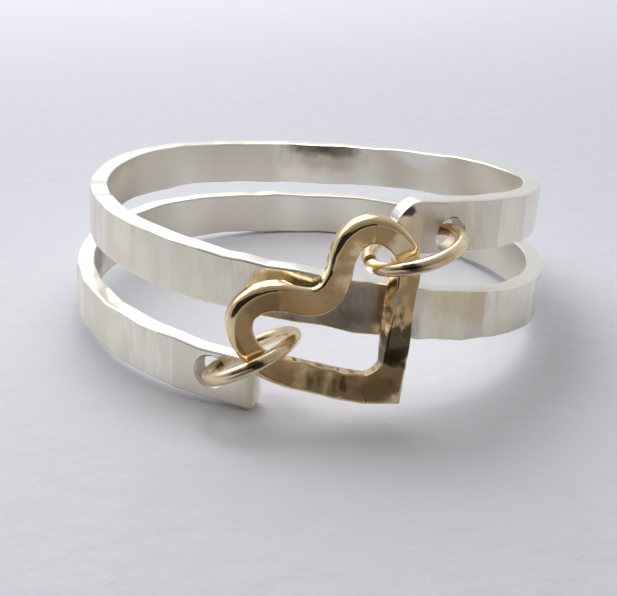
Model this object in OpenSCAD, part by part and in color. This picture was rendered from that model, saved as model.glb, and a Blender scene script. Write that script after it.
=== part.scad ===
// Wrap ring of hammered silver strip, closed at the front by a gold heart on two jump rings.
// Millimetres. The coil is laid out about the Z axis, front at -Y, and then leaned to its resting pose.

/* [Band] */
// Inside diameter of the finger opening, before each turn's own spread
inner_diameter = 17.3; // [16.6:0.1:18.4]
// Width of the flat strip, along the finger
strip_width = 1.92; // [1.6:0.02:2.2]
// Thickness of the strip, across its wall
strip_thickness = 0.76; // [0.6:0.02:0.9]
// Chamfer on the four long edges of the strip
rim_chamfer = 0.13; // [0.05:0.01:0.2]
// Number of hammer blows along the whole strip
blows = 112; // [60:2:140]
// Deepest hammer blow, into the outer face
blow_depth = 0.07; // [0:0.01:0.12]
// How far a blow pushes the long edges up or down
edge_wander = 0.045; // [0:0.005:0.08]
// Turn angle where the upper end of the strip stands
upper_end_angle = 18.4; // [15:0.1:22]
// Turn angle where the lower end of the strip stands
lower_end_angle = 711.2; // [708:0.1:713]

/* [Holes] */
// Diameter of the drilled hole near each end
hole_diameter = 1.16; // [1.14:0.01:1.2]
// Distance from the upper end to the middle of its hole
upper_hole_inset = 2.0; // [1.9:0.05:2.4]
// Distance from the lower end to the middle of its hole
lower_hole_inset = 1.67; // [1.5:0.01:1.8]

/* [Heart] */
// Thickness of the heart, front to back
heart_depth = 0.64; // [0.56:0.02:0.7]
// Scale of the heart's outline
heart_scale = 1.01; // [0.98:0.01:1.03]
// How far the heart is turned to the right
heart_turn = 8; // [7:0.5:9]
// How far the top of the heart leans back
heart_lean = 4; // [3:0.5:5]

/* [Jump rings] */
// Diameter of the round wire
wire_diameter = 0.48; // [0.44:0.01:0.5]
// Width of the saw cut where each jump ring closes
cut_gap = 0.08; // [0.05:0.01:0.12]

/* [Hidden] */

silver = [0.80, 0.79, 0.77];
gold = [0.78, 0.62, 0.38];

// The coil's rows stand this many degrees apart, from above the upper end down to the lower one
COIL_STEP = 60;
HEIGHT = 0;
SPREAD = 1;
// height of the top edge, spread added to the radius
COIL = [
    [5.60, -0.25],
    [4.84, -0.27],
    [3.85, -0.27],
    [3.15, -0.25],
    [3.35, -0.26],
    [3.36, -0.22],
    [2.85, -0.08],
    [1.45, 0.25],
    [0.90, 0.28],
    [0.45, 0.30],
    [0.42, 0.34],
    [0.06, 0.25],
    [-0.66, 0.00]
];

// Length and height of the rounded or clipped corner at each end
UPPER_CORNER = [0.95, 0.78];
LOWER_CORNER = [0.34, 0.70];
// Length and depth of the filed bevel on the outer face of the lower end
LOWER_BEVEL = [0.50, 0.40];
CORNER_STEPS = 4;
// Least angle between a shaped corner and the first hammer ridge beside it
CORNER_CLEAR = 1;
// How far each hole sits above the middle of the strip
UPPER_HOLE_RISE = -0.24;
LOWER_HOLE_RISE = 0.12;

// The heart's wire, from its sharp lower corner up the right leg and round to the corner again
HX = 0;
HZ = 1;
HWIDE = 2;
HTWIST = 3;
// across, up, width of the wire in the heart's plane, twist of the wire about its own line
HEART = [
    [2.50, -2.20, 1.32, 0],
    [2.64, -1.30, 0.90, -8],
    [2.66, -0.70, 0.94, -16],
    [2.68, 0.20, 1.00, -28],
    [2.74, 1.10, 1.02, -36],
    [2.84, 1.90, 0.96, -24],
    [2.74, 2.65, 0.88, -6],
    [2.22, 3.20, 0.90, 0],
    [1.58, 3.33, 0.92, 0],
    [1.00, 3.02, 0.92, 0],
    [0.70, 2.42, 0.86, 0],
    [0.60, 1.78, 0.84, 0],
    [0.36, 1.20, 0.92, 0],
    [-0.10, 0.88, 0.96, 0],
    [-0.72, 0.92, 0.94, 0],
    [-1.40, 1.02, 0.94, 0],
    [-2.05, 0.86, 0.92, 0],
    [-2.52, 0.42, 0.88, 0],
    [-2.58, -0.20, 0.86, 0],
    [-2.26, -0.86, 0.80, 0],
    [-1.70, -1.40, 0.84, 0],
    [-0.90, -1.66, 0.98, 0],
    [0.20, -1.90, 0.98, 0],
    [1.50, -2.18, 1.04, 0]
];
HEART_STEPS = 3;
// Where the heart hangs: across, in front of the nominal outer face, and up
HEART_X = 0.40;
HEART_STANDOFF = 0.45;
HEART_Z = 1.20;
// Section of the forged wire: flat faces and round edges, as a power curve
FORGED_POWER = 3.4;
FORGED_SIDES = 14;

// Jump rings: middle, middle radius, lean about X then Y, where the cut stands, and how far its ends miss
UPPER_RING = [3.543, -8.604, 3.738];
UPPER_RING_RADIUS = 1.575;
UPPER_RING_LEAN = [2.7, -17.2];
UPPER_CUT_ANGLE = 196;
UPPER_CUT_MISS = 0.12;
LOWER_RING = [-1.766, -9.323, -0.319];
LOWER_RING_RADIUS = 1.65;
LOWER_RING_LEAN = [-8.05, -28.8];
LOWER_CUT_ANGLE = 90;
LOWER_CUT_MISS = 0.06;
RING_STEPS = 44;
WIRE_SIDES = 12;

inner_radius = inner_diameter / 2;
size_shift = inner_radius - 8.65;

// Resting pose: lean about X, then about Y, that sets the coil on its three lowest points
REST_LEAN = [-2.80, 2.87];

// Repeatable value from 0 to 1
function chance(k, seed) =
    let (v = sin(k * 127.1 + seed * 311.7) * 43758.5453)
    v - floor(v);

// Smooth curve through four neighbouring values
function smooth(a, b, c, d, u) =
    0.5 * (2 * b + (c - a) * u + (2 * a - 5 * b + 4 * c - d) * u * u
        + (3 * b - 3 * c + d - a) * u * u * u);

function coil_value(column, angle) =
    let (
        last = len(COIL) - 1,
        i = min(floor(angle / COIL_STEP), last - 1),
        u = angle / COIL_STEP - i,
        b = COIL[i][column],
        c = COIL[i + 1][column],
        a = i > 0 ? COIL[i - 1][column] : 2 * b - c,
        d = i + 2 <= last ? COIL[i + 2][column] : 2 * c - b
    )
    smooth(a, b, c, d, u);

function wall_radius(angle) = inner_radius + coil_value(SPREAD, angle);

function polar(radius, angle, z) = [radius * sin(angle), -radius * cos(angle), z];

function lean_x(p, a) = [p.x, p.y * cos(a) - p.z * sin(a), p.y * sin(a) + p.z * cos(a)];
function lean_y(p, a) = [p.x * cos(a) + p.z * sin(a), p.y, p.z * cos(a) - p.x * sin(a)];
function turn_z(p, a) = [p.x * cos(a) - p.y * sin(a), p.x * sin(a) + p.y * cos(a), p.z];

// How far an end's corner is cut back at a distance from the end
function corner_drop(distance, corner) =
    distance >= corner[0] ? 0 : corner[1] * (1 - sqrt(1 - pow(1 - distance / corner[0], 2)));

function arc_length(angle_a, angle_b) =
    abs(angle_b - angle_a) * PI / 180 * wall_radius((angle_a + angle_b) / 2);

// Turn angles of the hammer ridges, unevenly spaced, with more stations in the rounded corners
pitch = (lower_end_angle - upper_end_angle) / blows;
ridge_angles = [
    for (k = [0:blows])
        upper_end_angle + pitch * (k + (k == 0 || k == blows ? 0 : 0.62 * (chance(k, 1) - 0.5)))
];
upper_corner_angle = UPPER_CORNER[0] / inner_radius * 180 / PI;
lower_corner_angle = LOWER_BEVEL[0] / inner_radius * 180 / PI;
corner_start = upper_end_angle + upper_corner_angle;
corner_finish = lower_end_angle - lower_corner_angle;
station_angles = concat(
    [for (k = [0:CORNER_STEPS]) upper_end_angle + upper_corner_angle * pow(k / CORNER_STEPS, 2)],
    [
        for (a = ridge_angles)
            if (a > corner_start + CORNER_CLEAR && a < corner_finish - CORNER_CLEAR) a
    ],
    [for (k = [CORNER_STEPS:-1:0]) lower_end_angle - lower_corner_angle * pow(k / CORNER_STEPS, 2)]
);

// Eight corners of the strip's section at one station
function band_section(angle, k) =
    let (
        inner = wall_radius(angle),
        outer = inner + strip_thickness - blow_depth * chance(k, 2)
            - corner_drop(arc_length(angle, lower_end_angle), LOWER_BEVEL),
        upper = coil_value(HEIGHT, angle) + edge_wander * (chance(k, 3) - 0.5) * 2
            - corner_drop(arc_length(upper_end_angle, angle), UPPER_CORNER),
        lower = coil_value(HEIGHT, angle) - strip_width + edge_wander * (chance(k, 4) - 0.5) * 2
            + corner_drop(arc_length(angle, lower_end_angle), LOWER_CORNER),
        c = rim_chamfer * (0.7 + 0.6 * chance(k, 5)),
        soft = rim_chamfer * 0.6
    )
    [
        polar(inner + soft, angle, lower),
        polar(outer - c, angle, lower),
        polar(outer, angle, lower + c),
        polar(outer, angle, upper - c),
        polar(outer - c, angle, upper),
        polar(inner + soft, angle, upper),
        polar(inner, angle, upper - soft),
        polar(inner, angle, lower + soft)
    ];

band_sections = [
    for (k = [0:len(station_angles) - 1]) band_section(station_angles[k], k)
];

// Heart: rows are joined by smooth curves, and the first row is the sharp corner
heart_count = len(HEART);
function heart_row(i) = HEART[(i + heart_count) % heart_count];

function heart_at(i, u) =
    let (
        b = heart_row(i),
        c = heart_row(i + 1),
        a = i == 0 ? 2 * b - c : heart_row(i - 1),
        d = i == heart_count - 1 ? 2 * c - b : heart_row(i + 2)
    )
    [for (n = [0:3]) smooth(a[n], b[n], c[n], d[n], u)];

// The two spans beside the sharp corner stay undivided, so that its sections don't cross
heart_line = [
    for (i = [0:heart_count - 1])
        let (steps = i == 0 || i == heart_count - 1 ? 1 : HEART_STEPS)
        for (s = [0:steps - 1]) heart_at(i, s / steps)
];
heart_stations = len(heart_line);

// Direction of the wire at a station, halfway between its neighbours
function heart_way(k) =
    let (
        p = heart_line[(k + heart_stations - 1) % heart_stations],
        q = heart_line[k],
        r = heart_line[(k + 1) % heart_stations],
        one = [q[HX] - p[HX], q[HZ] - p[HZ]],
        two = [r[HX] - q[HX], r[HZ] - q[HZ]],
        sum = one / norm(one) + two / norm(two)
    )
    sum / norm(sum);

function power_curve(value, power) = sign(value) * pow(abs(value), 2 / power);

function heart_section(k) =
    let (
        row = heart_line[k],
        way = heart_way(k),
        twist = row[HTWIST]
    )
    [
        for (j = [0:FORGED_SIDES - 1])
            let (
                t = (j + 0.5) * 360 / FORGED_SIDES,
                across = row[HWIDE] / 2 * power_curve(cos(t), FORGED_POWER),
                out = heart_depth / 2 * power_curve(sin(t), FORGED_POWER),
                side = across * cos(twist) - out * sin(twist),
                front = across * sin(twist) + out * cos(twist),
                x = heart_scale * (row[HX] + side * way.y),
                z = heart_scale * (row[HZ] - side * way.x),
                placed = turn_z(lean_x([x, -front, z], -heart_lean), heart_turn)
            )
            placed + [HEART_X, -(inner_radius + strip_thickness + HEART_STANDOFF), HEART_Z]
    ];

heart_sections = [for (k = [0:heart_stations - 1]) heart_section(k)];

// One jump ring: its wire runs from one side of the cut to the other and shifts sideways on the way
function jump_sections(middle, radius, lean, cut_angle, miss) =
    let (half_cut = cut_gap / radius * 90 / PI)
    [
        for (k = [0:RING_STEPS])
            let (
                run = k / RING_STEPS,
                angle = cut_angle + half_cut + run * (360 - 2 * half_cut),
                shift = miss * (run - 0.5)
            )
            [
                for (j = [0:WIRE_SIDES - 1])
                    let (
                        t = j * 360 / WIRE_SIDES,
                        r = radius + wire_diameter / 2 * cos(t),
                        p = [r * cos(angle), r * sin(angle), shift + wire_diameter / 2 * sin(t)]
                    )
                    lean_y(lean_x(p, lean[0]), lean[1]) + middle + [0, -size_shift, 0]
            ]
    ];

upper_sections = jump_sections(
    UPPER_RING, UPPER_RING_RADIUS, UPPER_RING_LEAN, UPPER_CUT_ANGLE, UPPER_CUT_MISS
);
lower_sections = jump_sections(
    LOWER_RING, LOWER_RING_RADIUS, LOWER_RING_LEAN, LOWER_CUT_ANGLE, LOWER_CUT_MISS
);

// Resting pose: the whole ring is leaned, set on the floor and centred over the origin
function leaned(p) = lean_y(lean_x(p, REST_LEAN[0]), REST_LEAN[1]);

all_points = [
    for (sections = [band_sections, heart_sections, upper_sections, lower_sections])
        for (section = sections) for (p = section) leaned(p)
];
low_corner = [for (n = [0:2]) min([for (p = all_points) p[n]])];
high_corner = [for (n = [0:2]) max([for (p = all_points) p[n]])];
rest_shift = [-(low_corner.x + high_corner.x) / 2, -(low_corner.y + high_corner.y) / 2, -low_corner.z];

module rest() {
    translate(rest_shift) rotate([0, REST_LEAN[1], 0]) rotate([REST_LEAN[0], 0, 0]) children();
}

// Closed skin over a run of sections, either capped at its ends or joined into a loop
module skin(sections, loop) {
    sides = len(sections[0]);
    count = len(sections);
    spans = loop ? count : count - 1;
    walls = [
        for (k = [0:spans - 1]) for (j = [0:sides - 1])
            let (
                a = k * sides + j,
                b = k * sides + (j + 1) % sides,
                c = ((k + 1) % count) * sides + (j + 1) % sides,
                d = ((k + 1) % count) * sides + j
            )
            each [[a, b, c], [a, c, d]]
    ];
    caps = loop ? [] : [
        [for (j = [sides - 1:-1:0]) j],
        [for (j = [0:sides - 1]) (count - 1) * sides + j]
    ];
    polyhedron([for (section = sections) each section], concat(walls, caps));
}

module hole(angle, rise) {
    drill = 4 * strip_thickness;
    wall_middle = wall_radius(angle) + strip_thickness / 2;
    height = coil_value(HEIGHT, angle) - strip_width / 2 + rise;
    translate(polar(wall_middle, angle, height))
        rotate([90, 0, angle])
            cylinder(h = drill, d = hole_diameter, center = true, $fn = 32);
}

module wrap_band() {
    upper_hole_angle = upper_end_angle + upper_hole_inset / wall_radius(upper_end_angle) * 180 / PI;
    lower_hole_angle = lower_end_angle - lower_hole_inset / wall_radius(lower_end_angle) * 180 / PI;
    color(silver) rest() difference() {
        skin(band_sections, false);
        hole(upper_hole_angle, UPPER_HOLE_RISE);
        hole(lower_hole_angle, LOWER_HOLE_RISE);
    }
}

module heart_link() {
    color(gold) rest() skin(heart_sections, true);
}

module upper_jump_ring() {
    color(gold) rest() skin(upper_sections, false);
}

module lower_jump_ring() {
    color(gold) rest() skin(lower_sections, false);
}

wrap_band();
heart_link();
upper_jump_ring();
lower_jump_ring();
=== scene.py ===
"""Wrap ring of hammered silver strip with a gold heart on two jump rings.

The pieces are forged in millimetres about the coil's own axis, front at -Y, and then set down
at their real size in the resting pose. The panel in the sidebar lists the steps and the sizes.
"""

import math

import bpy
from mathutils import Euler, Matrix, Vector


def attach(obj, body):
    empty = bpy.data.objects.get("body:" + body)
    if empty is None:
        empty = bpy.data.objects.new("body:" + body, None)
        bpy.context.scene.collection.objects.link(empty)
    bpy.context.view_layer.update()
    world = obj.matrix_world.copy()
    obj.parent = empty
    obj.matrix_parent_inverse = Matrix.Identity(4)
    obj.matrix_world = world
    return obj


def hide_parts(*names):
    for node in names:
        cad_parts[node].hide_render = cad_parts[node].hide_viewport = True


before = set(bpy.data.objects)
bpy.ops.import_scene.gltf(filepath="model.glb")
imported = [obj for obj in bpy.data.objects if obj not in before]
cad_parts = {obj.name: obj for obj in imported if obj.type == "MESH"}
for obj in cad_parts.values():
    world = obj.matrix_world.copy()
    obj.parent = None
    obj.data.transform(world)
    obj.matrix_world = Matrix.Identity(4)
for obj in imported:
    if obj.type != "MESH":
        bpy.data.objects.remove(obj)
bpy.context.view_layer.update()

bl_info = {
    "name": "Heart Wrap Ring",
    "version": (1, 0, 0),
    "blender": (4, 5, 0),
    "location": "3D View > Sidebar > Ring",
    "description": "Hammered silver wrap ring closed by a forged gold heart on two jump rings",
    "category": "Add Mesh",
}

MM = 0.001
ORIGIN = (0, 0, 0)
# No lean, about X or about Y
LEVEL = (0, 0)
# Turns of a new shape: a plane that faces along X, and a circle or cylinder whose axis runs along Y
FACE_ALONG_X = (0, math.radians(90), 0)
AXIS_ALONG_Y = (math.radians(90), 0, 0)

# Repeatable draws: the two steps and the scale of their sine, and a number for each thing drawn
DRAW_STEPS = (127.1, 311.7)
DRAW_SCALE = 43758.5453
PLACE_DRAW, DEPTH_DRAW, HIGH_EDGE_DRAW, LOW_EDGE_DRAW, PLANISH_DRAW, LEAN_DRAW = 1, 2, 3, 4, 7, 8

# Resting pose of the coil: lean about X, then about Y, in degrees, and the shift after it in millimetres
REST_LEAN = (-2.80, 2.87)
REST_SHIFT = Vector((0.0277, 0.7458, 1.9588))

# Coil: every 60 degrees from above the upper end, the height of the top edge and what is added to the radius
COIL_STEP = 60
COIL = [
    (5.60, -0.25),
    (4.84, -0.27),
    (3.85, -0.27),
    (3.15, -0.25),
    (3.35, -0.26),
    (3.36, -0.22),
    (2.85, -0.08),
    (1.45, 0.25),
    (0.90, 0.28),
    (0.45, 0.30),
    (0.42, 0.34),
    (0.06, 0.25),
    (-0.66, 0.00),
]
UPPER_END = 18.4
LOWER_END = 711.2
# Length and height of the shaped corner at each end, and length and depth of the lower end's bevel
UPPER_CORNER = (0.95, 0.78)
LOWER_CORNER = (0.34, 0.70)
LOWER_BEVEL = (0.50, 0.40)
CORNER_STEPS = 4
CORNER_CLEAR = 1
END_ROUND = 0.05
# Hammer ridges: how far one strays, as a share of their pitch, and leans to either side, in degrees
RIDGE_STRAY = 0.31
RIDGE_LEAN = 5
# Stations on each facet: the most of it that its soft border takes at each end, and those between
BORDER_MOST = 0.25
FACET_STATIONS = (1 / 3, 2 / 3)
# Cuts in the rounding of the long edges
RIM_CUTS = 3
# Distance of each hole from its end, and how far it sits above the middle of the strip
UPPER_HOLE = (2.0, -0.24)
LOWER_HOLE = (1.67, 0.12)
HOLE_SIDES = 64
COUNTERSINK = 0.08
DRILL_REACH = 0.6
# Finishes of the strip, in the order of its material slots
FACE, INSIDE, HOLE, RIM = range(4)
# A face with more than this share of its normal along the radius belongs to the wall, or else to the rim
WALL_SHARE = 0.8
# Edges sharper than these angles stay sharp
BAND_SHARP = 28
HEART_SHARP = 60
RING_SHARP = 40

# Heart: across, up, width of the wire, its twist and the rounding of its outer front edge, from
# above the corner's fillet and round to it again
HEART = [
    (2.640, -1.08, 0.90, -11, 0.11),
    (2.66, -0.70, 0.94, -16, 0.11),
    (2.68, 0.20, 1.00, -28, 0.12),
    (2.74, 1.10, 1.02, -36, 0.12),
    (2.84, 1.90, 0.96, -24, 0.14),
    (2.74, 2.65, 0.88, -6, 0.20),
    (2.22, 3.20, 0.90, 2, 0.28),
    (1.58, 3.33, 0.92, 5, 0.30),
    (1.00, 3.02, 0.92, 8, 0.34),
    (0.70, 2.42, 0.86, 8, 0.28),
    (0.60, 1.78, 0.84, 6, 0.16),
    (0.36, 1.20, 0.92, 3, 0.12),
    (-0.10, 0.88, 0.96, 0, 0.12),
    (-0.72, 0.92, 0.94, 4, 0.16),
    (-1.40, 1.02, 0.94, 7, 0.26),
    (-2.05, 0.86, 0.92, 8, 0.34),
    (-2.52, 0.42, 0.88, 8, 0.36),
    (-2.58, -0.20, 0.86, 8, 0.36),
    (-2.26, -0.86, 0.80, 6, 0.30),
    (-1.70, -1.40, 0.84, 5, 0.20),
    (-0.90, -1.66, 0.98, 4, 0.12),
    (-0.45, -1.76, 0.98, 8, 0.10),
    (0.09, -1.88, 0.98, 2, 0.10),
    (0.45, -1.97, 0.99, 8, 0.10),
    (0.87, -2.07, 1.00, 1, 0.10),
    (1.45, -2.16, 1.02, 7, 0.10),
    (1.80, -2.21, 1.04, 2, 0.10),
]
# Sections from one row to the next, corners of a section and cuts in each rounded edge
HEART_STEPS = 6
SECTION_SIDES = 4
EDGE_CUTS = 7
# Sharp lower corner of the outline, and steps of the fillet inside it
HEART_CORNER = Vector((2.96, -2.71))
FILLET_STEPS = 12
# Turn about the coil's axis and lean back, in degrees, and place: across, out from the wall and up
HEART_TURN = 8
HEART_LEAN = 4
HEART_PLACE = (0.40, 0.45, 1.20)
HEART_SCALE = 1.01

# Jump rings: middle, middle radius, lean about X then Y, where the cut stands and how far its ends miss
JUMP_RINGS = {
    "upper": (Vector((3.528, -8.629, 3.738)), 1.60, (2.7, -17.2), 196, 0.12),
    "lower": (Vector((-1.766, -9.323, -0.319)), 1.65, (-8.05, -28.8), 90, 0.06),
}
RING_STEPS = 72
WIRE_SIDES = 20
# What a file takes off the edge of the two cut faces
FILED_EDGE = 0.03
FILED_CUTS = 2

# Places with a finish of their own: middle, reach along X, Y and Z in millimetres, and strength.
# Painted shade and painted dark reflections of the heart on the outer face, darker spots on the inside,
# the one at the far left painted shade, painted dark reflections on the heart and the jump rings, dark
# wedges painted on the heart's bottom edge as reflections of dents, a matt place beside the upper end
# of the strip, and a painted highlight on the inside
FACE_PAINTED_SHADE = [
    ((3.48, -7.57, 7.18), (0.42, 0.5, 0.22), 1.0),
    ((2.05, -8.35, 4.10), (1.25, 0.8, 1.10), 0.36),
    ((1.25, -8.40, 3.55), (0.95, 0.8, 0.55), 0.40),
    ((-0.05, -8.40, 4.85), (0.75, 0.8, 0.32), 0.32),
]
INSIDE_DARKENING = [
    ((0.10, 9.2, 4.60), (1.6, 1.2, 0.60), 0.80),
    ((1.20, 9.2, 4.55), (1.4, 1.2, 0.60), 0.70),
    ((0.60, 9.2, 4.05), (2.4, 1.2, 0.90), 0.32),
    # Painted shade on the inner wall of the lower turn, at the far left
    ((-8.9, 0.2, 1.80), (1.0, 2.2, 0.90), 0.55),
]
HEART_PAINTED_REFLECTIONS = [
    ((3.22, -9.05, 3.00), (1.00, 0.9, 1.20), 1.0),
    ((3.20, -9.05, 2.80), (1.00, 0.9, 0.95), 0.85),
    ((3.50, -8.85, 4.80), (1.00, 0.9, 1.10), 0.55),
    ((2.60, -9.30, 1.35), (0.95, 0.9, 0.65), 0.36),
    ((0.90, -9.45, 1.60), (1.60, 0.9, 0.80), 0.10),
]
WIRE_PAINTED_REFLECTIONS = [
    ((3.59, -9.44, 5.93), (0.46, 0.3, 0.17), 1.0),
    ((-1.42, -10.36, 2.74), (0.42, 0.3, 0.19), 1.0),
]
HEART_DENT_REFLECTIONS = [
    ((0.27, -9.5, 1.76), (0.17, 0.9, 0.42), 0.60),
    ((0.62, -9.5, 1.73), (0.09, 0.9, 0.32), 0.40),
    ((1.14, -9.4, 1.66), (0.13, 0.9, 0.42), 0.50),
    ((1.42, -9.4, 1.64), (0.17, 0.9, 0.42), 0.70),
]
FACE_MATT = ((4.0, -7.3, 6.4), (1.0, 1.0, 1.3), 1.0)
INSIDE_PAINTED_HIGHLIGHT = ((5.0, 7.7, 4.75), (1.9, 1.9, 0.85), 0.9)
# Where the even rim of such a place lies, as a share of its reach
SPOT_RIM = 0.95
# What the matt place adds to the roughness, and the plain finishes' roughness
MATT_ADDED = 0.3
HOLE_ROUGHNESS = 0.42
RIM_ROUGHNESS = 0.28
FLOOR_ROUGHNESS = 0.75
CARD_ROUGHNESS = 1.0
# White that the painted highlight on the inside turns to
PAINTED_HIGHLIGHT_COLOUR = (1, 1, 1)

# Softboxes: place and target in metres, width and height, power in watts, colour, and whether
# the metal mirrors it
LIGHTS = [
    ("window", (-0.1035, 0.1233, 0.154), (0, 0, 0.004), (0.33, 0.187), 0.27, (0.98, 0.99, 1.0), True),
    ("back_wash", (-0.02, 0.115, 0.08), (-0.02, 0.115, 0.0), (0.16, 0.08), 0.040, (0.98, 0.99, 1.0), False),
    ("overhead", (-0.06, 0.045, 0.13), (0, 0, 0.0), (0.12, 0.12), 0.012, (1.0, 0.99, 0.98), True),
    ("inside_fill", (-0.002, 0.0, 0.026), (0, 0, 0.0), (0.010, 0.010), 0.0018, (1.0, 0.99, 0.98), True),
]
# Cards that only the metal sees: middle, turn about X and Z in degrees, width and height, colour
CARDS = [
    ("near_card", (0.0119, -0.1945, 0.045), (77, 3.5), (0.096, 0.080), (0.012, 0.011, 0.010)),
    ("left_card", (-0.1085, -0.1549, 0.0651), (71, -35), (0.187, 0.122), (0.012, 0.011, 0.010)),
    ("near_floor_card", (0.0020, -0.0162, 0.0003), (0, 0), (0.014, 0.0086), (0.15, 0.125, 0.10)),
    ("front_card", (0.0020, -0.0237, 0.0003), (0, 0), (0.014, 0.0064), (0.27, 0.22, 0.175)),
    ("far_card", (0.0060, -0.0425, 0.0003), (0, 0), (0.022, 0.031), (0.32, 0.262, 0.203)),
    ("right_card", (0.0190, -0.0130, 0.0004), (0, 0), (0.016, 0.014), (0.52, 0.46, 0.39)),
]
# Daylight: its colour in front and behind, where along Y it changes over, and its strength
DAY_FRONT = (0.40, 0.355, 0.30)
DAY_BEHIND = (1.0, 1.01, 1.04)
DAY_CHANGE = (-0.7, 0.5)
DAY_STRENGTH = 0.64
FLOOR_RADIUS = 0.9
FLOOR_SIDES = 96

# Camera in the coil's frame: its place in millimetres, and the ways to its back and its top
EYE = Vector((0.058, -43.212, 14.949))
EYE_BACK = Vector((0.0, -0.93364, 0.35821))
EYE_UP = Vector((-0.06717, 0.35740, 0.93153))
LENS = 62.75
SENSOR = 36
NEAREST_SEEN = 0.001


def length_of(name, description, default):
    """Size property, with its default in millimetres"""
    return bpy.props.FloatProperty(name=name, description=description, default=default * MM, unit="LENGTH")


def colour_of(name, description, default):
    return bpy.props.FloatVectorProperty(
        name=name, description=description, default=default, subtype="COLOR", min=0, max=1
    )


class BandSizes(bpy.types.PropertyGroup):
    """Sizes of the strip and of its hammering"""

    inner_diameter: length_of("Finger opening", "Inside diameter of the coil", 17.3)
    width: length_of("Strip width", "Width along the finger", 1.92)
    thickness: length_of("Strip thickness", "Thickness of the wall", 0.76)
    rim_round: length_of("Rim rounding", "Rounding of the long edges", 0.11)
    blows: bpy.props.IntProperty(
        name="Hammer blows", description="Blows along the whole strip", default=112, min=60, max=140
    )
    blow_depth: length_of("Blow depth", "Deepest blow into the outer face", 0.07)
    edge_wander: length_of("Edge wander", "How far a blow pushes the long edges", 0.045)
    ridge_width: length_of("Ridge width", "Width of the soft border between two blows", 0.09)
    hole_diameter: length_of("Hole", "Diameter of the two drilled holes", 1.16)


class HeartSizes(bpy.types.PropertyGroup):
    """Sizes of the forged heart"""

    depth: length_of("Thickness", "Thickness from front to back", 0.64)
    inner_round: length_of("Inner rounding", "Rounding of the front edge round the opening", 0.07)
    back_round: length_of("Back rounding", "Rounding of the two back edges", 0.15)
    fillet: length_of("Inner fillet", "Fillet inside the sharp corner", 0.6)
    planish: bpy.props.FloatProperty(
        name="Planishing",
        description="How far the hammer tilts the flat face, from one side to the other",
        default=math.radians(5),
        subtype="ANGLE",
    )


class JumpRingSizes(bpy.types.PropertyGroup):
    """Sizes of the two jump rings"""

    wire: length_of("Wire", "Diameter of the round wire", 0.48)
    cut: length_of("Saw cut", "Width of the cut where a ring closes", 0.08)


class FinishColours(bpy.types.PropertyGroup):
    """Colours of the metals and of the floor"""

    silver: colour_of("Silver", "Colour of the silver", (0.99, 0.965, 0.885))
    silver_shade: colour_of("Silver shade", "Duller silver of some blows", (0.765, 0.72, 0.63))
    silver_cast: colour_of("Silver cast", "Yellowish cast of some blows", (0.915, 0.89, 0.655))
    silver_wave: colour_of("Silver wave", "Pinkish dull silver in upright waves", (0.86, 0.782, 0.69))
    # Dark colour painted in as shade and dark reflections on the outer face, and in darker spots inside, one
    # of them painted shade
    silver_dark: colour_of("Tarnish", "Brown-black of the tarnished spots", (0.12, 0.10, 0.085))
    # Painted shade: the holes' walls get a dark brown for their shade and for the gold wire they mirror
    hole: colour_of("Hole", "Dull silver in the drilled holes", (0.42, 0.34, 0.27))
    gold: colour_of("Gold", "Colour of the heart", (0.935, 0.76, 0.47))
    gold_shade: colour_of("Gold shade", "Deeper gold in patches", (0.74, 0.52, 0.27))
    # Dark colour painted in as dark reflections on the heart and the jump rings
    gold_painted_dark: colour_of("Gold dark", "Darkened spots on the gold", (0.12, 0.09, 0.055))
    wire: colour_of("Wire", "Colour of the jump rings", (0.95, 0.785, 0.545))
    wire_shade: colour_of("Wire shade", "Deeper gold in patches of the jump rings", (0.85, 0.65, 0.43))
    floor: colour_of("Floor", "Colour of the floor", (0.69, 0.70, 0.76))


def in_mm(length):
    return length / MM


def chance(k, drawn):
    """Repeatable value from 0 to 1"""
    v = math.sin(math.radians(k * DRAW_STEPS[0] + drawn * DRAW_STEPS[1])) * DRAW_SCALE
    return v - math.floor(v)


def either_way(k, drawn):
    """Repeatable value from -1 to 1"""
    return (chance(k, drawn) - 0.5) * 2


def partway(a, b, u):
    return a + (b - a) * u


def smooth(a, b, c, d, u):
    """Smooth curve through four neighbouring values"""
    rise = (c - a) * u
    bend = (2 * a - 5 * b + 4 * c - d) * u * u
    turn = (3 * b - 3 * c + d - a) * u * u * u
    return 0.5 * (2 * b + rise + bend + turn)


def coil_value(column, angle):
    """Height of the top edge, column 0, or what is added to the radius, column 1, at a turn angle"""
    last = len(COIL) - 1
    i = min(int(angle // COIL_STEP), last - 1)
    b, c = COIL[i][column], COIL[i + 1][column]
    a = COIL[i - 1][column] if i > 0 else 2 * b - c
    d = COIL[i + 2][column] if i + 2 <= last else 2 * c - b
    return smooth(a, b, c, d, angle / COIL_STEP - i)


def only(piece):
    """Select one object and make it active"""
    bpy.ops.object.select_all(action="DESELECT")
    piece.select_set(True)
    bpy.context.view_layer.objects.active = piece


def start(name):
    """Name the new primitive, keep its turn in the mesh and open it in edit mode, all of it selected"""
    piece = bpy.context.object
    piece.name = piece.data.name = name
    bpy.ops.object.transform_apply(location=True, rotation=True, scale=True)
    bpy.ops.object.mode_set(mode="EDIT")
    bpy.ops.mesh.select_all(action="SELECT")
    return piece


def select_faces(piece, test):
    """Open a piece in edit mode with only the faces selected that pass a test"""
    bpy.ops.object.mode_set(mode="OBJECT")
    mesh = piece.data
    for part in (mesh.vertices, mesh.edges, mesh.polygons):
        part.foreach_set("select", [False] * len(part))
    for face in mesh.polygons:
        face.select = test(face)
    only(piece)
    bpy.ops.object.mode_set(mode="EDIT")
    bpy.ops.mesh.select_mode(type="FACE")


def swing(angle, axis, centre=ORIGIN):
    """Turn the selection by degrees; without a window the operator turns the other way"""
    bpy.ops.transform.rotate(value=-math.radians(angle), orient_axis=axis, center_override=centre)


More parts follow.
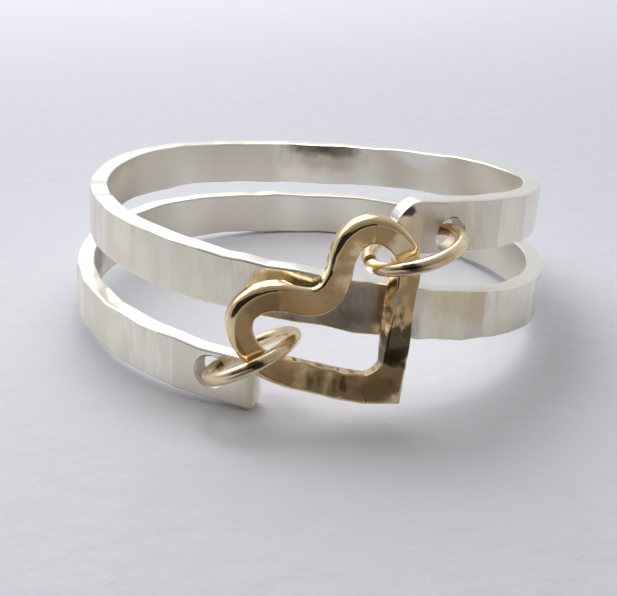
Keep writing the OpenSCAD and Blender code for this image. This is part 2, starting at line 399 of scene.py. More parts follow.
def slide(step):
    bpy.ops.transform.translate(value=step)


def stretch(scale, centre):
    bpy.ops.transform.resize(value=scale, center_override=centre)


def draw_out():
    """Extrude the selected end, leaving the new end in place to be carried on"""
    bpy.ops.mesh.extrude_region_move(TRANSFORM_OT_translate={"value": ORIGIN})


def close_shape():
    """Go back to vertices, turn all faces outwards and leave edit mode"""
    bpy.ops.mesh.select_mode(type="VERT")
    bpy.ops.mesh.select_all(action="SELECT")
    bpy.ops.mesh.normals_make_consistent(inside=False)
    bpy.ops.object.mode_set(mode="OBJECT")


def set_pose(piece, lean, turn, place, scale=(1, 1, 1)):
    """Scale, lean about X then Y, turn about Z and move, all kept in the mesh"""
    only(piece)
    piece.scale = scale
    piece.rotation_euler = [math.radians(a) for a in (*lean, turn)]
    piece.location = place
    bpy.ops.object.transform_apply(location=True, rotation=True, scale=True)


def set_down(piece):
    """Resting pose and real size"""
    set_pose(piece, REST_LEAN, 0, REST_SHIFT)
    piece.scale = (MM, MM, MM)
    bpy.ops.object.transform_apply(location=True, rotation=True, scale=True)


def smooth_faces(piece, angle):
    """Smooth shading with sharp edges past an angle, and flats kept flat"""
    only(piece)
    bpy.ops.object.shade_smooth_by_angle(angle=math.radians(angle))
    bpy.ops.object.modifier_add(type="WEIGHTED_NORMAL")
    weighted = piece.modifiers[-1]
    weighted.keep_sharp = True
    bpy.ops.object.modifier_apply(modifier=weighted.name)


def dress(piece, node):
    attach(piece, "root")
    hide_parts(node)


def corner_drop(distance, corner):
    """How far an end's corner is cut back at a distance from the end"""
    length, height = corner
    if distance >= length:
        return 0.0
    return height * (1 - math.sqrt(1 - (1 - max(distance, 0) / length) ** 2))


class Strip:
    """The strip's plan: where the ridges stand and what section it has at any angle"""

    def __init__(self, sizes):
        self.inner = in_mm(sizes.inner_diameter) / 2
        self.width = in_mm(sizes.width)
        self.thickness = in_mm(sizes.thickness)
        self.depth = in_mm(sizes.blow_depth)
        self.wander = in_mm(sizes.edge_wander)
        self.ridge = in_mm(sizes.ridge_width)
        self.marks = self.ridge_marks(sizes.blows)

    def wall(self, angle):
        """Inner radius at a turn angle"""
        return self.inner + coil_value(1, angle)

    def arc(self, a, b):
        """Length along the inner wall between two turn angles"""
        return abs(math.radians(b - a)) * self.wall((a + b) / 2)

    def angle_from(self, end, distance):
        """Turn angle at a distance along the strip from an end"""
        return end + math.degrees(distance / self.wall(end))

    def ridge_marks(self, blows):
        """Angle, outer radius, wander of the high and the low edge, and lean at every ridge"""
        pitch = (LOWER_END - UPPER_END) / blows
        upper_turn = math.degrees(UPPER_CORNER[0] / self.inner)
        lower_turn = math.degrees(LOWER_BEVEL[0] / self.inner)
        first = UPPER_END + upper_turn + CORNER_CLEAR
        last = LOWER_END - lower_turn - CORNER_CLEAR
        ridges = [UPPER_END + pitch * (k + RIDGE_STRAY * either_way(k, PLACE_DRAW)) for k in range(1, blows)]
        share = [(k / CORNER_STEPS) ** 2 for k in range(CORNER_STEPS + 1)]
        angles = [UPPER_END + upper_turn * s for s in share]
        angles += [a for a in ridges if first < a < last]
        angles += [LOWER_END - lower_turn * s for s in reversed(share)]
        return [
            (
                a,
                self.wall(a) + self.thickness - self.depth * chance(k, DEPTH_DRAW),
                self.wander * either_way(k, HIGH_EDGE_DRAW),
                self.wander * either_way(k, LOW_EDGE_DRAW),
                RIDGE_LEAN * either_way(k, LEAN_DRAW) if first < a < last else 0,
            )
            for k, a in enumerate(angles)
        ]

    def section(self, left, right, angle):
        """Angle, inner and outer radius, low and high edge and lean on the facet between two ridges"""
        a, outer_a, high_a, low_a, lean_a = left
        b, outer_b, high_b, low_b, lean_b = right
        u = (angle - a) / (b - a)
        facet = math.sin(math.radians(b - angle)) / outer_a + math.sin(math.radians(angle - a)) / outer_b
        outer = math.sin(math.radians(b - a)) / facet
        outer -= corner_drop(self.arc(angle, LOWER_END), LOWER_BEVEL)
        high = coil_value(0, angle) + partway(high_a, high_b, u)
        high -= corner_drop(self.arc(UPPER_END, angle), UPPER_CORNER)
        low = coil_value(0, angle) - self.width + partway(low_a, low_b, u)
        low += corner_drop(self.arc(angle, LOWER_END), LOWER_CORNER)
        return angle, self.wall(angle), outer, low, high, partway(lean_a, lean_b, u)

    def end_section(self, left, right, angle):
        """Upright section of an end face, drawn in all round to round its edges"""
        angle, inner, outer, low, high, _ = self.section(left, right, angle)
        return angle, inner + END_ROUND, outer - END_ROUND, low + END_ROUND, high - END_ROUND, 0

    def sections(self):
        """All sections in order, from the upper end to the lower one"""
        found = [self.end_section(self.marks[0], self.marks[1], UPPER_END)]
        for left, right in zip(self.marks, self.marks[1:]):
            border = min(BORDER_MOST, self.ridge / 2 / self.arc(left[0], right[0]))
            for u in (border, *FACET_STATIONS, 1 - border):
                found.append(self.section(left, right, partway(left[0], right[0], u)))
        found.append(self.end_section(self.marks[-2], self.marks[-1], LOWER_END))
        return found


def sweep_strip(strip, rim_round):
    """Extrude the strip's section from station to station round the coil"""
    bpy.ops.object.select_all(action="DESELECT")
    bpy.ops.mesh.primitive_plane_add(size=1, rotation=FACE_ALONG_X)
    band = start("hammered_band")
    inner, outer, low, high = strip.inner, strip.inner + strip.thickness, 0.0, strip.width
    stretch((1, strip.thickness, strip.width), ORIGIN)
    slide((0, -(inner + outer) / 2, (low + high) / 2))
    bpy.ops.mesh.bevel(offset=rim_round, segments=RIM_CUTS, affect="VERTICES", clamp_overlap=True)
    bpy.ops.mesh.select_all(action="SELECT")
    here = lean = 0.0
    for k, (angle, new_inner, new_outer, new_low, new_high, new_lean) in enumerate(strip.sections()):
        if k:
            draw_out()
        swing(-here, "Z")
        swing(-lean, "Y", (0, 0, (low + high) / 2))
        slide((0, inner - new_inner, new_low - low))
        scale = (1, (new_outer - new_inner) / (outer - inner), (new_high - new_low) / (high - low))
        stretch(scale, (0, -new_inner, new_low))
        swing(new_lean, "Y", (0, 0, (new_low + new_high) / 2))
        swing(angle, "Z")
        here, inner, outer, low, high, lean = angle, new_inner, new_outer, new_low, new_high, new_lean
    close_shape()
    return band


def sort_finishes(band):
    """Give each face its finish, by where it faces"""
    for face in band.data.polygons:
        facing = face.normal.dot(Vector((face.center.x, face.center.y, 0)).normalized())
        face.material_index = FACE if facing > WALL_SHARE else INSIDE if facing < -WALL_SHARE else RIM


def bore(band, strip, angle, rise, diameter):
    """Drill one hole through the wall, with a small countersink outside"""
    radius = diameter / 2
    surface = strip.wall(angle) + strip.thickness - strip.depth / 2 - COUNTERSINK
    inside = strip.wall(angle) - DRILL_REACH
    height = coil_value(0, angle) - strip.width / 2 + rise
    tip = -(surface - inside) / 2
    flare = (radius + DRILL_REACH) / radius
    bpy.ops.object.select_all(action="DESELECT")
    bpy.ops.mesh.primitive_cylinder_add(
        vertices=HOLE_SIDES, radius=radius, depth=surface - inside, rotation=AXIS_ALONG_Y
    )
    drill = start("drill")
    select_faces(drill, lambda face: face.center.y < tip / 2)
    draw_out()
    slide((0, -DRILL_REACH, 0))
    stretch((flare, 1, flare), ORIGIN)
    close_shape()
    for material in band.data.materials:
        drill.data.materials.append(material)
    for face in drill.data.polygons:
        face.material_index = RIM if face.center.y < tip else HOLE
    set_pose(drill, LEVEL, 0, (0, -(surface + inside) / 2, height))
    set_pose(drill, LEVEL, angle, ORIGIN)
    only(band)
    bpy.ops.object.modifier_add(type="BOOLEAN")
    cut = band.modifiers[-1]
    cut.operation = "DIFFERENCE"
    cut.solver = "EXACT"
    cut.object = drill
    bpy.ops.object.modifier_apply(modifier=cut.name)
    only(drill)
    bpy.ops.object.delete()


def mark_blows(band, strip):
    """Give every face the number of its own hammer blow, for the finish to read"""
    blow = band.data.attributes.new("blow", "FLOAT", "FACE")
    for face in band.data.polygons:
        turn = math.degrees(math.atan2(face.center.x, -face.center.y)) % 360
        turns = [a for a in (turn, turn + 360) if UPPER_END <= a <= LOWER_END] or [LOWER_END]
        angle = min(turns, key=lambda a: abs(face.center.z - coil_value(0, a) + strip.width / 2))
        blow.data[face.index].value = sum(mark[0] < angle for mark in strip.marks)


def heart_line(sizes):
    """Place, width, heading, twist and outer rounding of every section round the heart"""
    last = len(HEART) - 1
    fine = []
    for i in range(last):
        b, c = HEART[i], HEART[i + 1]
        a = HEART[i - 1] if i else [2 * p - q for p, q in zip(b, c)]
        d = HEART[i + 2] if i + 2 <= last else [2 * q - p for p, q in zip(b, c)]
        for s in range(HEART_STEPS):
            fine.append([smooth(p, q, r, t, s / HEART_STEPS) for p, q, r, t in zip(a, b, c, d)])
    fine.append(HEART[last])
    rows = []
    for k, (x, z, width, twist, outer_round) in enumerate(fine):
        before, after = fine[max(k - 1, 0)], fine[min(k + 1, len(fine) - 1)]
        heading = math.degrees(math.atan2(after[1] - before[1], after[0] - before[0]))
        tilt = math.degrees(sizes.planish) * either_way(k // HEART_STEPS, PLANISH_DRAW) / 2
        rows.append((Vector((x, z)), width, heading, twist + tilt, outer_round))
    return rows + corner_fan(rows[-1], rows[0], in_mm(sizes.fillet))


def meet(origin, way, a, b):
    """Distance along a ray to where it meets the line through two points"""
    run = b - a
    gap = a - origin
    return (gap.x * run.y - gap.y * run.x) / (way.x * run.y - way.y * run.x)


def corner_fan(come, leave, fillet):
    """Sections that fan round the fillet's centre while their outer ends run into the sharp corner"""
    below, below_width, _, below_twist, _ = come
    beside, beside_width, _, beside_twist, beside_round = leave
    centre = Vector((beside.x - beside_width / 2 - fillet, below.y + below_width / 2 + fillet))
    outer_below = Vector((centre.x, below.y - below_width / 2))
    outer_beside = Vector((beside.x + beside_width / 2, centre.y))
    sharp = HEART_CORNER - centre
    middle = math.atan2(sharp.y, sharp.x)
    rows = []
    for k in range(1, FILLET_STEPS):
        u = k / FILLET_STEPS
        phi = -math.pi / 2 * (1 - u)
        if k == FILLET_STEPS // 2:
            phi = middle
        way = Vector((math.cos(phi), math.sin(phi)))
        if phi <= middle:
            reach = meet(centre, way, outer_below, HEART_CORNER)
        else:
            reach = meet(centre, way, HEART_CORNER, outer_beside)
        place = centre + way * (reach + fillet) / 2
        twist = below_twist * max(0, 1 - 2 * u) + beside_twist * max(0, 2 * u - 1)
        rows.append((place, reach - fillet, math.degrees(phi) + 90, twist, beside_round))
    return rows


def sweep_heart(sizes):
    """Extrude the wire's section round the heart's outline, bridge its two ends and round its edges"""
    bpy.ops.object.select_all(action="DESELECT")
    bpy.ops.mesh.primitive_plane_add(size=1, rotation=FACE_ALONG_X)
    heart = start("forged_heart")
    stretch((1, in_mm(sizes.depth), 1), ORIGIN)
    rows = heart_line(sizes)
    place, width, heading, twist = Vector((0, 0)), 1.0, 0.0, 0.0
    for k, (new_place, new_width, new_heading, new_twist, _) in enumerate(rows):
        centre = (new_place.x, 0, new_place.y)
        if k:
            draw_out()
        slide((new_place.x - place.x, 0, new_place.y - place.y))
        swing(heading, "Y", centre)
        swing(twist, "X", centre)
        stretch((1, 1, new_width / width), centre)
        swing(-new_twist, "X", centre)
        swing(-new_heading, "Y", centre)
        place, width, heading, twist = new_place, new_width, new_heading, new_twist
    bridge_ends(heart)
    round_edges(heart, rows, sizes)
    set_pose(heart, LEVEL, 0, ORIGIN, (HEART_SCALE, 1, HEART_SCALE))
    return heart


def bridge_ends(heart):
    """Delete the two end caps and bridge the open loops"""
    select_faces(heart, lambda face: len({index // SECTION_SIDES for index in face.vertices}) == 1)
    bpy.ops.mesh.delete(type="ONLY_FACE")
    bpy.ops.mesh.select_mode(type="EDGE")
    bpy.ops.mesh.select_all(action="DESELECT")
    bpy.ops.mesh.select_non_manifold()
    bpy.ops.mesh.bridge_edge_loops()
    close_shape()


def round_edges(heart, rows, sizes):
    """Bevel the four long edges, each by its own rounding, which changes along the outer front one"""
    mesh = heart.data
    widest = max(outer_round for *_, outer_round in rows)
    weights = mesh.attributes.new("bevel_weight_edge", "FLOAT", "EDGE")
    for edge in mesh.edges:
        first, second = [index // SECTION_SIDES for index in edge.vertices]
        if first == second:
            continue
        place, _, heading, twist, first_round = rows[first]
        *_, second_round = rows[second]
        corner = mesh.vertices[edge.vertices[0]].co
        way, turn = math.radians(heading), math.radians(twist)
        inward = (corner.z - place.y) * math.cos(way) - (corner.x - place.x) * math.sin(way)
        depth = corner.y * math.cos(turn) - inward * math.sin(turn)
        across = corner.y * math.sin(turn) + inward * math.cos(turn)
        if depth > 0:
            size = in_mm(sizes.back_round)
        elif across < 0:
            size = (first_round + second_round) / 2
        else:
            size = in_mm(sizes.inner_round)
        weights.data[edge.index].value = size / widest
    only(heart)
    bpy.ops.object.modifier_add(type="BEVEL")
    bevel = heart.modifiers[-1]
    bevel.limit_method = "WEIGHT"
    bevel.width = widest
    bevel.segments = EDGE_CUTS
    bevel.use_clamp_overlap = False
    bpy.ops.object.modifier_apply(modifier=bevel.name)


def coil_jump_ring(name, sizes, radius, cut_angle, miss):
    """Coil round wire once about Z, from one side of the saw cut to the other"""
    half_cut = math.degrees(in_mm(sizes.cut) / 2 / radius)
    bpy.ops.object.select_all(action="DESELECT")
    bpy.ops.mesh.primitive_circle_add(
        vertices=WIRE_SIDES, radius=in_mm(sizes.wire) / 2, fill_type="NGON", rotation=AXIS_ALONG_Y
    )
    ring = start(name)
    slide((radius, 0, -miss / 2))
    swing(cut_angle + half_cut, "Z")
    step = (360 - 2 * half_cut) / RING_STEPS
    for _ in range(RING_STEPS):
        draw_out()
        swing(step, "Z")
        slide((0, 0, miss / RING_STEPS))
    close_shape()
    return ring


def file_ends(ring):
    """Take the sharp edge off the two cut faces"""
    select_faces(ring, lambda face: len(face.vertices) == WIRE_SIDES)
    bpy.ops.mesh.region_to_loop()
    bpy.ops.mesh.bevel(offset=FILED_EDGE, segments=FILED_CUTS, affect="EDGES")
    bpy.ops.mesh.select_mode(type="VERT")
    bpy.ops.object.mode_set(mode="OBJECT")


def add_node(tree, kind, **settings):
    """Node with its own settings, and with values for its inputs, whose names may hold spaces"""
    node = tree.nodes.new(kind)
    for key, value in settings.items():
        if hasattr(node, key):
            setattr(node, key, value)
        else:
            node.inputs[key.replace("_", " ")].default_value = value
    return node


def new_material(name):
    """An empty node material and its tree, with the shader joined to the output"""
    material = bpy.data.materials.new(name)
    material.use_nodes = True
    tree = material.node_tree
    tree.nodes.clear()
    shader = add_node(tree, "ShaderNodeBsdfPrincipled")
    output = add_node(tree, "ShaderNodeOutputMaterial")
    tree.links.new(shader.outputs["BSDF"], output.inputs["Surface"])
    return material, tree, shader


def new_metal(name):
    material, tree, shader = new_material(name)
    shader.inputs["Metallic"].default_value = 1.0
    return material, tree, shader


def set_plain(shader, colour, roughness):
    """One colour and roughness all over, on the shader's own sockets"""
    shader.inputs["Base Color"].default_value = (*colour, 1)
    shader.inputs["Roughness"].default_value = roughness


def object_place(tree, **settings):
    """Object coordinates, scaled and then moved"""
    place = add_node(tree, "ShaderNodeTexCoord")
    mapping = add_node(tree, "ShaderNodeMapping", **settings)
    tree.links.new(place.outputs["Object"], mapping.inputs["Vector"])
    return mapping.outputs["Vector"]


def noise(tree, scale, detail=2.0, roughness=0.5, squeeze=(1, 1, 1)):
    """Cloudy pattern: its fineness in each millimetre, and how it is squeezed along X, Y and Z"""
    node = add_node(tree, "ShaderNodeTexNoise", Scale=scale, Detail=detail, Roughness=roughness)
    tree.links.new(object_place(tree, Scale=[s / MM for s in squeeze]), node.inputs["Vector"])
    return node.outputs["Fac"]


def between(tree, value, low, high, from_low=0.3, from_high=0.7):
    """Map a pattern to a range of numbers"""
    node = add_node(
        tree, "ShaderNodeMapRange", From_Min=from_low, From_Max=from_high, To_Min=low, To_Max=high
    )
    tree.links.new(value, node.inputs["Value"])
    return node.outputs["Result"]


def times_plus(tree, value, factor, added):
    """A pattern times a number, plus another pattern"""
    node = add_node(tree, "ShaderNodeMath", operation="MULTIPLY_ADD")
    tree.links.new(value, node.inputs[0])
    node.inputs[1].default_value = factor
    tree.links.new(added, node.inputs[2])
    return node.outputs["Value"]


def colour_sockets(sockets):
    return [socket for socket in sockets if socket.type == "RGBA"]


def blend_colours(tree, value, one, two):
    """Mix two plain colours by a pattern"""
    node = add_node(tree, "ShaderNodeMix", data_type="RGBA")
    tree.links.new(value, node.inputs["Factor"])
    for socket, colour in zip(colour_sockets(node.inputs), (one, two)):
        socket.default_value = (*colour, 1)
    return colour_sockets(node.outputs)[0]


def mix_in(tree, value, under, colour):
    """Mix a plain colour into another result by a pattern"""
    result = blend_colours(tree, value, colour, colour)
    tree.links.new(under, colour_sockets(result.node.inputs)[0])
    return result


def spot_mask(tree, spot, grain=1.5, ragged=0.8, soft=0.5):
    """Pattern that fills a spot, with the grain of its edge, and how ragged and how soft that is"""
    middle, reach, strength = spot
    place = object_place(
        tree, Location=[-m / r for m, r in zip(middle, reach)], Scale=[1 / (r * MM) for r in reach]
    )
    length = add_node(tree, "ShaderNodeVectorMath", operation="LENGTH")
    tree.links.new(place, length.inputs[0])
    edge = times_plus(tree, noise(tree, grain), ragged, length.outputs["Value"])
    rim = SPOT_RIM + ragged / 2
    return between(tree, edge, low=strength, high=0.0, from_low=rim - soft, from_high=rim)


def mix_at_spots(tree, under, spots, colour, **edge):
    """Mix one colour into a result at several spots"""
    for spot in spots:
        under = mix_in(tree, spot_mask(tree, spot, **edge), under, colour)
    return under


def raise_bump(tree, shader, pattern, height, strength):
    """Lay one more bump over the shader's others, with its height in millimetres"""
    node = add_node(tree, "ShaderNodeBump", Distance=height * MM, Strength=strength)
    tree.links.new(pattern, node.inputs["Height"])
    normal = shader.inputs["Normal"]
    if normal.is_linked:
        tree.links.new(normal.links[0].from_socket, node.inputs["Normal"])
    tree.links.new(node.outputs["Normal"], normal)


def blow_values(tree):
    """Three unlike numbers from 0 to 1 for each hammer blow"""
    number = add_node(tree, "ShaderNodeAttribute", attribute_name="blow")
    drawn = add_node(tree, "ShaderNodeTexWhiteNoise", noise_dimensions="1D")
    tree.links.new(number.outputs["Fac"], drawn.inputs["W"])
    split = add_node(tree, "ShaderNodeSeparateColor")
    tree.links.new(drawn.outputs["Color"], split.inputs["Color"])
    return split.outputs


def hammered_silver(colours):
    """Outer face: satin, each blow with its own shade, and fine upright streaks"""
    material, tree, shader = new_metal("hammered_silver")
    shade, cast, gloss = blow_values(tree)
    streaks = noise(tree, scale=4.0, detail=4.0, roughness=0.65, squeeze=(1, 1, 0.12))
    dents = noise(tree, scale=2.2, squeeze=(1, 1, 0.6))
    waves = noise(tree, scale=1.5, squeeze=(1, 1, 0.4))
    grain = noise(tree, scale=18.0)
    cast_share = between(tree, cast, low=0.15, high=0.85, from_low=0.3, from_high=1.0)
    wave_share = between(tree, waves, low=0.0, high=0.7, from_low=0.46, from_high=0.58)
    streak_share = between(tree, streaks, low=0.0, high=0.4, from_low=0.45, from_high=0.70)
    plain = blend_colours(tree, shade, colours.silver, colours.silver_shade)
    tinted = mix_in(tree, cast_share, plain, colours.silver_cast)
    waved = mix_in(tree, wave_share, tinted, colours.silver_wave)
    streaked = mix_in(tree, streak_share, waved, colours.silver_shade)
    # Painted shade and painted dark reflections of the heart: a dark streak by the upper end, and spots on
    # the middle strip behind the heart
    darkened = mix_at_spots(tree, streaked, FACE_PAINTED_SHADE, colours.silver_dark, grain=3.2, soft=0.4)
    tree.links.new(darkened, shader.inputs["Base Color"])
    satin = between(tree, gloss, low=0.2, high=0.34, from_low=0.0, from_high=1.0)
    matt = times_plus(tree, spot_mask(tree, FACE_MATT, soft=0.8), MATT_ADDED, satin)
    tree.links.new(matt, shader.inputs["Roughness"])
    raise_bump(tree, shader, dents, height=0.05, strength=0.3)
    raise_bump(tree, shader, waves, height=0.06, strength=0.5)
    raise_bump(tree, shader, streaks, height=0.02, strength=0.45)
    raise_bump(tree, shader, grain, height=0.004, strength=0.4)
    return material


def inner_silver(colours):
    """Inside of the coil: a duller satin with broad soft patches, darker spots and one painted highlight"""
    material, tree, shader = new_metal("inner_silver")
    patches = noise(tree, scale=0.32, detail=1.0, squeeze=(1, 1, 0.5))
    grain = noise(tree, scale=6.0, detail=3.0, squeeze=(1, 1, 4))
    shade = between(tree, patches, low=0.25, high=1.0, from_low=0.38, from_high=0.62)
    plain = blend_colours(tree, shade, colours.silver, colours.silver_shade)
    # Darker spots on the inside; the one at the far left is painted shade on the lower turn's inner wall
    darkened = mix_at_spots(tree, plain, INSIDE_DARKENING, colours.silver_dark)
    # Painted highlight: the base colour turns white in one place on the inside
    highlight = spot_mask(tree, INSIDE_PAINTED_HIGHLIGHT)
    satin = between(tree, highlight, low=0.32, high=0.62, from_low=0.0, from_high=1.0)
    tree.links.new(mix_in(tree, highlight, darkened, PAINTED_HIGHLIGHT_COLOUR), shader.inputs["Base Color"])
    tree.links.new(satin, shader.inputs["Roughness"])
    raise_bump(tree, shader, patches, height=0.08, strength=0.3)
    raise_bump(tree, shader, grain, height=0.004, strength=0.3)
    return material


def hole_silver_shaded(colours):
    """Wall of the drilled holes, painted dark brown for the shade in them and the gold wire they mirror"""
    material, _, shader = new_metal("hole_silver_shaded")
    set_plain(shader, colours.hole, HOLE_ROUGHNESS)
    return material


def rim_silver(colours):
    """Long edges of the strip, rubbed bright"""
    material, tree, shader = new_metal("rim_silver")
    set_plain(shader, colours.silver, RIM_ROUGHNESS)
    grain = noise(tree, scale=6.0, detail=3.0)
    raise_bump(tree, shader, grain, height=0.008, strength=0.3)
    return material


def forged_gold(colours):
    """Polished pale gold with faint planishing, fine scratches, and painted dark reflections in wedges on
    the bottom edge and in spots
    """
    material, tree, shader = new_metal("forged_gold")
    patches = noise(tree, scale=0.9)
    grain = noise(tree, scale=16.0, detail=3.0)
    shade = between(tree, patches, low=0.0, high=0.8, from_low=0.4, from_high=0.7)
    plain = blend_colours(tree, shade, colours.gold, colours.gold_shade)
    # Dark wedges painted along the bottom edge as the reflections of dents
    with_dent_reflections = mix_at_spots(tree, plain, HEART_DENT_REFLECTIONS, colours.gold_painted_dark, grain=3.6, ragged=1.7)
    # Painted dark reflections on the heart's right leg and along its bottom edge
    darkened = mix_at_spots(tree, with_dent_reflections, HEART_PAINTED_REFLECTIONS, colours.gold_painted_dark, grain=2.2, ragged=1.8)
    tree.links.new(darkened, shader.inputs["Base Color"])
    tree.links.new(between(tree, patches, low=0.08, high=0.15), shader.inputs["Roughness"])
    raise_bump(tree, shader, patches, height=0.08, strength=0.35)
    raise_bump(tree, shader, grain, height=0.003, strength=0.35)
    return material


def wire_gold(colours):
    """Paler, softer gold of the jump rings"""
    material, tree, shader = new_metal("wire_gold")
    patches = noise(tree, scale=1.6, detail=3.0)
    shade = between(tree, patches, low=0.0, high=0.9, from_low=0.42, from_high=0.62)
    plain = blend_colours(tree, shade, colours.wire, colours.wire_shade)
    # Painted dark reflection on the front of each jump ring
    darkened = mix_at_spots(tree, plain, WIRE_PAINTED_REFLECTIONS, colours.gold_painted_dark, grain=4.0, soft=0.4)
    tree.links.new(darkened, shader.inputs["Base Color"])
    tree.links.new(between(tree, patches, low=0.2, high=0.28), shader.inputs["Roughness"])
    raise_bump(tree, shader, patches, height=0.06, strength=0.35)
    return material


def pale_floor(colours):
    """Plain pale floor with a faint grain"""
    material, tree, shader = new_material("pale_floor")
    set_plain(shader, colours.floor, FLOOR_ROUGHNESS)
    grain = noise(tree, scale=0.8, detail=4.0, roughness=0.6)
    raise_bump(tree, shader, grain, height=0.3, strength=0.35)
    return material


def lay_floor(colours):
    bpy.ops.object.select_all(action="DESELECT")
    bpy.ops.mesh.primitive_circle_add(vertices=FLOOR_SIDES, radius=FLOOR_RADIUS, fill_type="NGON")
    floor = bpy.context.object
    floor.name = "floor"
    floor.data.materials.append(pale_floor(colours))


def light_world(scene):
    """Soft daylight: bright behind, dimmer on the camera's side"""
    world = bpy.data.worlds.new("daylight")
    scene.world = world
    world.use_nodes = True
    tree = world.node_tree
    tree.nodes.clear()
    way = add_node(tree, "ShaderNodeTexCoord")
    split = add_node(tree, "ShaderNodeSeparateXYZ")
    tree.links.new(way.outputs["Generated"], split.inputs["Vector"])
    front, behind = DAY_CHANGE
    share = between(tree, split.outputs["Y"], low=0.0, high=1.0, from_low=front, from_high=behind)
    colour = blend_colours(tree, share, DAY_FRONT, DAY_BEHIND)
    background = add_node(tree, "ShaderNodeBackground", Strength=DAY_STRENGTH)
    output = add_node(tree, "ShaderNodeOutputWorld")
    tree.links.new(colour, background.inputs["Color"])
    tree.links.new(background.outputs["Background"], output.inputs["Surface"])


def aim(place, target):
    return (Vector(place) - Vector(target)).to_track_quat("Z", "Y").to_euler()


def add_softbox(name, place, target, size, power, colour, mirrored):
    """Area light that stays out of the camera's sight"""
    bpy.ops.object.light_add(type="AREA", location=place, rotation=aim(place, target))
    lamp = bpy.context.object
    lamp.name = lamp.data.name = name
    lamp.data.shape = "RECTANGLE"
    lamp.data.size, lamp.data.size_y = size
    lamp.data.energy = power
    lamp.data.color = colour
    lamp.visible_camera = False
    lamp.visible_glossy = mirrored


def add_card(name, place, turn, size, colour):
    """Dark card that gives the metal something to mirror"""
    bpy.ops.object.select_all(action="DESELECT")
    tip, spin = [math.radians(a) for a in turn]
    bpy.ops.mesh.primitive_plane_add(size=1, location=place, rotation=(tip, 0, spin))
    card = bpy.context.object
    card.name = name
    card.scale = (*size, 1)
    bpy.ops.object.transform_apply(location=True, rotation=True, scale=True)
    material, _, shader = new_material(name)
    set_plain(shader, colour, CARD_ROUGHNESS)
    card.data.materials.append(material)
    card.visible_camera = card.visible_shadow = card.visible_diffuse = False


def add_camera(scene):
    """Camera at the photograph's angle to the coil, which leans in its resting pose"""
    lean = Euler([math.radians(a) for a in (*REST_LEAN, 0)]).to_matrix().to_4x4()
    rest = Matrix.Translation(REST_SHIFT * MM) @ lean
    side = EYE_UP.cross(EYE_BACK)
    axes = Matrix((side, EYE_UP, EYE_BACK)).transposed().to_4x4()
    bpy.ops.object.camera_add()
    camera = bpy.context.object
    camera.name = "camera"
    camera.matrix_world = rest @ Matrix.Translation(EYE * MM) @ axes
    camera.data.lens = LENS
    camera.data.sensor_width = SENSOR
    camera.data.clip_start = NEAREST_SEEN
    scene.camera = camera


class RING_OT_wrap_band(bpy.types.Operator):
    """Forge the silver strip, coil it nearly twice round and drill its two holes"""

    bl_idname = "ring.wrap_band"
    bl_label = "Wrap band"

    def execute(self, context):
        sizes, colours = context.scene.ring_band, context.scene.ring_colours
        strip = Strip(sizes)
        band = sweep_strip(strip, in_mm(sizes.rim_round))
        for finish in (hammered_silver, inner_silver, hole_silver_shaded, rim_silver):
            band.data.materials.append(finish(colours))
        sort_finishes(band)
        hole = in_mm(sizes.hole_diameter)
        for end, way, (distance, rise) in ((UPPER_END, 1, UPPER_HOLE), (LOWER_END, -1, LOWER_HOLE)):
            bore(band, strip, strip.angle_from(end, way * distance), rise, hole)
        mark_blows(band, strip)
        smooth_faces(band, BAND_SHARP)
        set_down(band)
        dress(band, "wrap_band")
        return {"FINISHED"}


class RING_OT_heart(bpy.types.Operator):
    """Forge the open gold heart and hang it in front of the coil"""

    bl_idname = "ring.heart"
    bl_label = "Heart"

    def execute(self, context):
        sizes, band = context.scene.ring_heart, context.scene.ring_band
        heart = sweep_heart(sizes)
        smooth_faces(heart, HEART_SHARP)
        heart.data.materials.append(forged_gold(context.scene.ring_colours))
        across, standoff, up = HEART_PLACE
        outer = in_mm(band.inner_diameter) / 2 + in_mm(band.thickness) + standoff
        set_pose(heart, (-HEART_LEAN, 0), HEART_TURN, (across, -outer, up))
        set_down(heart)
        dress(heart, "heart_link")
        return {"FINISHED"}


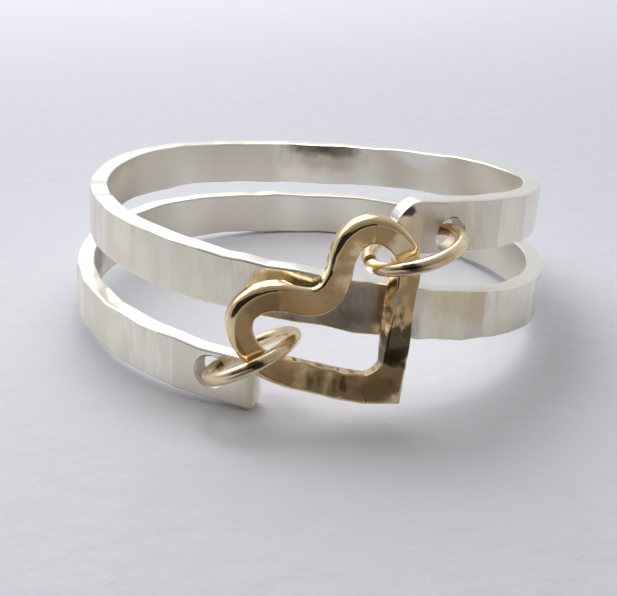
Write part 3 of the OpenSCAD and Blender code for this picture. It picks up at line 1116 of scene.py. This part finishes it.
class RING_OT_jump_rings(bpy.types.Operator):
    """Coil the two gold jump rings that carry the heart"""

    bl_idname = "ring.jump_rings"
    bl_label = "Jump rings"

    def execute(self, context):
        sizes = context.scene.ring_jump_rings
        gold = wire_gold(context.scene.ring_colours)
        for side, (middle, radius, lean, cut_angle, miss) in JUMP_RINGS.items():
            ring = coil_jump_ring(side + "_ring_wire", sizes, radius, cut_angle, miss)
            file_ends(ring)
            smooth_faces(ring, RING_SHARP)
            ring.data.materials.append(gold)
            set_pose(ring, lean, 0, middle)
            set_down(ring)
            dress(ring, side + "_jump_ring")
        return {"FINISHED"}


class RING_OT_stage(bpy.types.Operator):
    """Set the pale floor, the soft lights, the cards and the camera"""

    bl_idname = "ring.stage"
    bl_label = "Stage"

    def execute(self, context):
        lay_floor(context.scene.ring_colours)
        light_world(context.scene)
        for light in LIGHTS:
            add_softbox(*light)
        for card in CARDS:
            add_card(*card)
        add_camera(context.scene)
        context.scene.view_settings.view_transform = "Standard"
        return {"FINISHED"}


GROUPS = {
    "ring_band": BandSizes,
    "ring_heart": HeartSizes,
    "ring_jump_rings": JumpRingSizes,
    "ring_colours": FinishColours,
}
STEPS = (RING_OT_wrap_band, RING_OT_heart, RING_OT_jump_rings, RING_OT_stage)


class RING_PT_panel(bpy.types.Panel):
    """Steps, sizes and colours of the ring"""

    bl_label = "Heart Wrap Ring"
    bl_space_type = "VIEW_3D"
    bl_region_type = "UI"
    bl_category = "Ring"

    def draw(self, context):
        for step in STEPS:
            self.layout.operator(step.bl_idname)
        for name, group in GROUPS.items():
            box = self.layout.box()
            values = getattr(context.scene, name)
            for value_name in group.__annotations__:
                box.prop(values, value_name)


CLASSES = (*GROUPS.values(), *STEPS, RING_PT_panel)


def register():
    for cls in CLASSES:
        bpy.utils.register_class(cls)
    for name, group in GROUPS.items():
        setattr(bpy.types.Scene, name, bpy.props.PointerProperty(type=group))


def unregister():
    for name in GROUPS:
        delattr(bpy.types.Scene, name)
    for cls in reversed(CLASSES):
        bpy.utils.unregister_class(cls)


def main():
    register()
    bpy.ops.ring.wrap_band()
    bpy.ops.ring.heart()
    bpy.ops.ring.jump_rings()
    bpy.ops.ring.stage()


if __name__ == "__main__":
    main()
